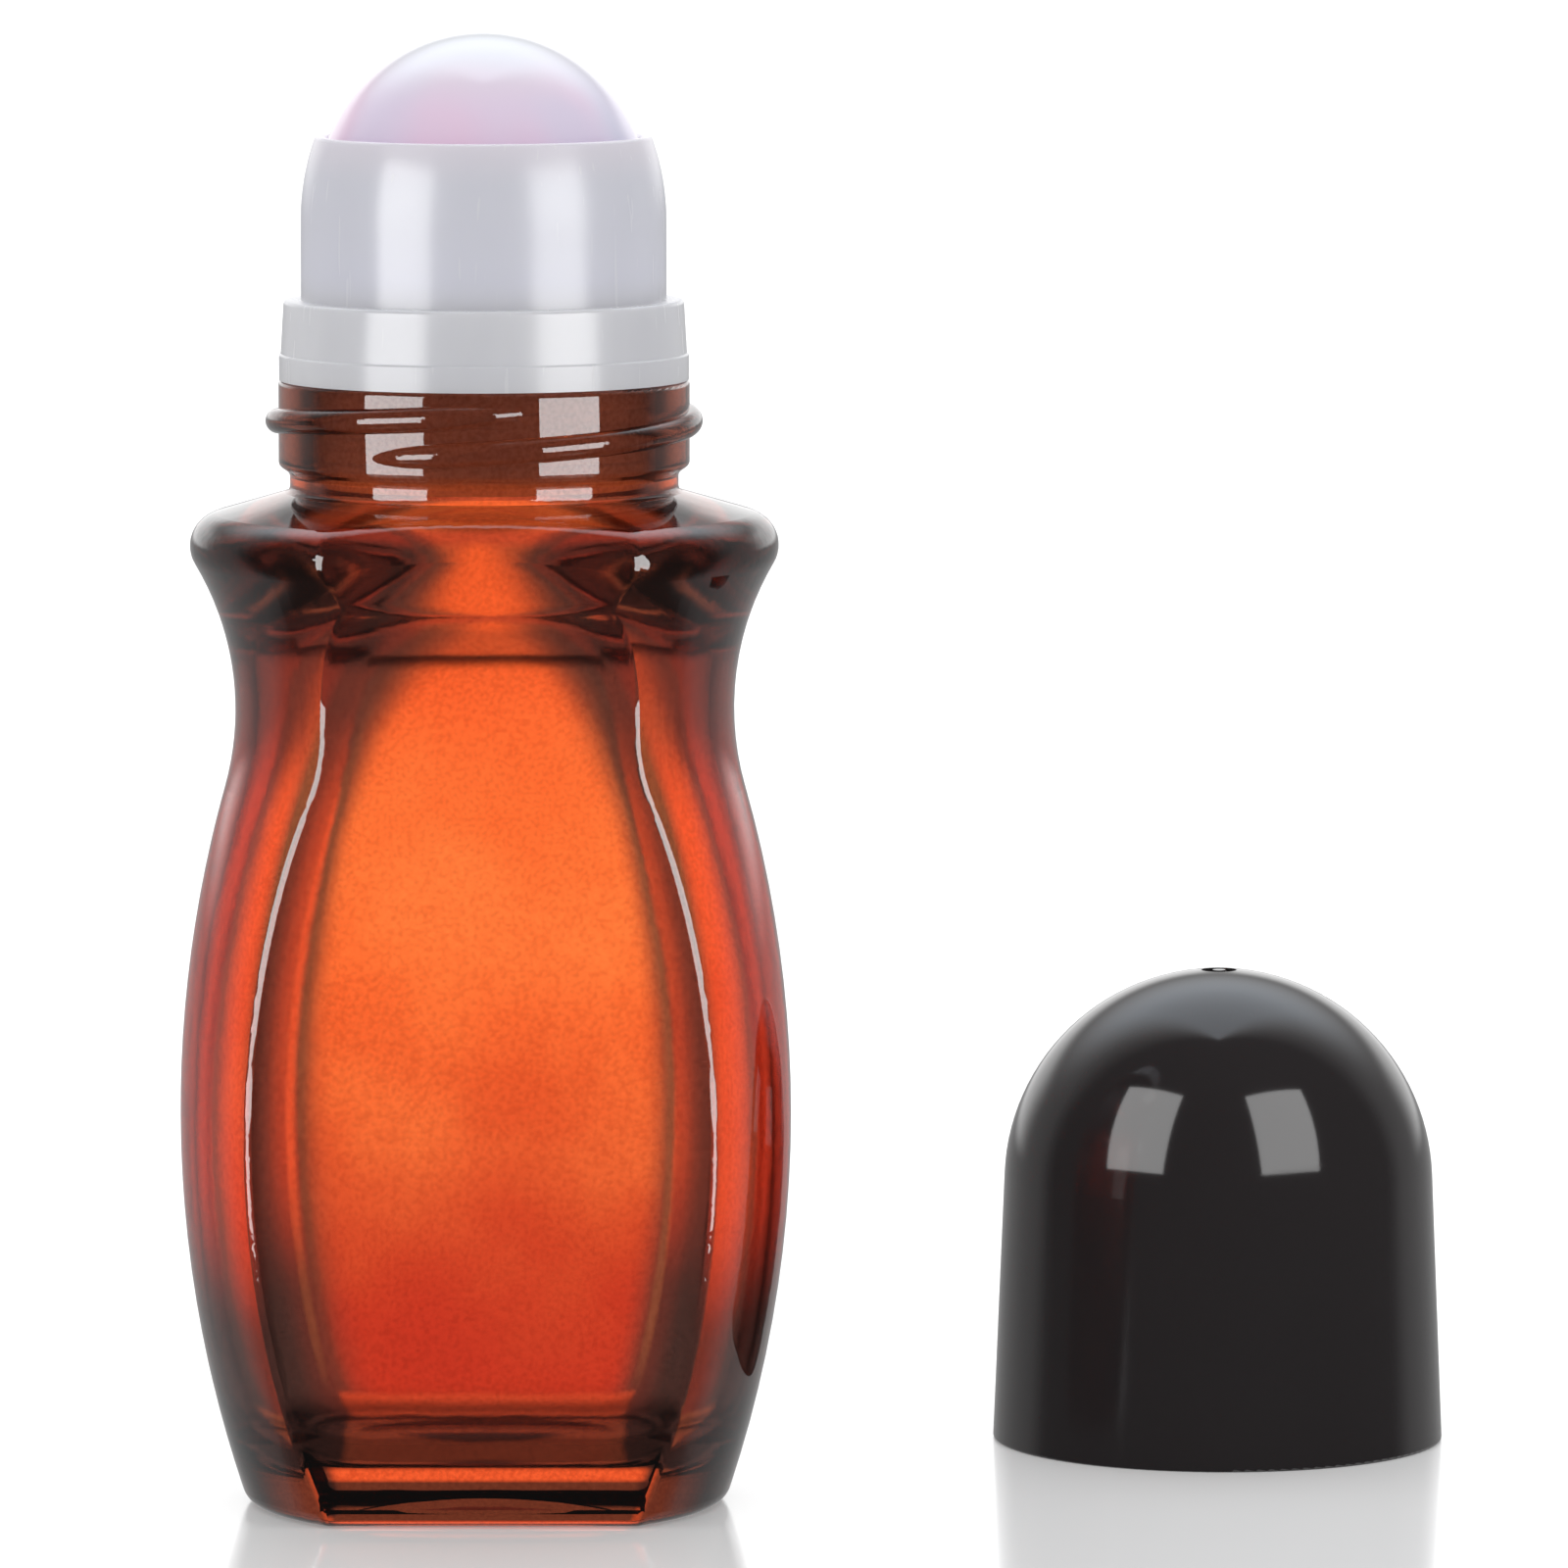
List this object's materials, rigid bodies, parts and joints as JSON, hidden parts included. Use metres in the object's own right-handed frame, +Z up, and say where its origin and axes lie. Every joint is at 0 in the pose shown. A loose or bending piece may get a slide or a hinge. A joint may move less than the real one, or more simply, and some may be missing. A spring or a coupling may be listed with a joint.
{
  "type": "roll-on bottle",
  "caption": "Amber glass roll-on bottle with a waisted flat-panelled body, threaded neck, push-in ball housing, rolling ball and a domed black screw cap standing beside it.",
  "frame": {"origin": "on the standing plane, at the bottle's axis", "axes": "+Z up along the bottle's axis, -Y out of the front panel, +X to the right seen from the front"},
  "size_m": [0.0987, 0.0672, 0.113],
  "materials": {
    "amber_glass": "clear amber glass, smooth",
    "natural_plastic": "translucent natural plastic, satin",
    "pearl_plastic": "pearly, polished",
    "black_plastic": "glossy black moulding"
  },
  "bodies": {
    "bottle": {"glass_bottle": "amber_glass"},
    "housing": {"ball_housing": "natural_plastic"},
    "ball": {"roller_ball": "pearl_plastic"},
    "cap": {"screw_cap": "black_plastic"}
  },
  "joints": [
    {"name": "housing_pull", "type": "slide", "parent": "bottle", "child": "housing", "axis": [0, 0, 1], "range_m": [0, 0.012]},
    {"name": "ball_roll", "type": "hinge", "parent": "housing", "child": "ball", "pos_m": [0, 0, 0.1003], "axis": [1, 0, 0], "continuous": true},
    {"name": "cap_lift", "type": "slide", "parent": "bottle", "child": "cap", "axis": [0, 0, 1], "range_m": [0, 0.115]}
  ]
}
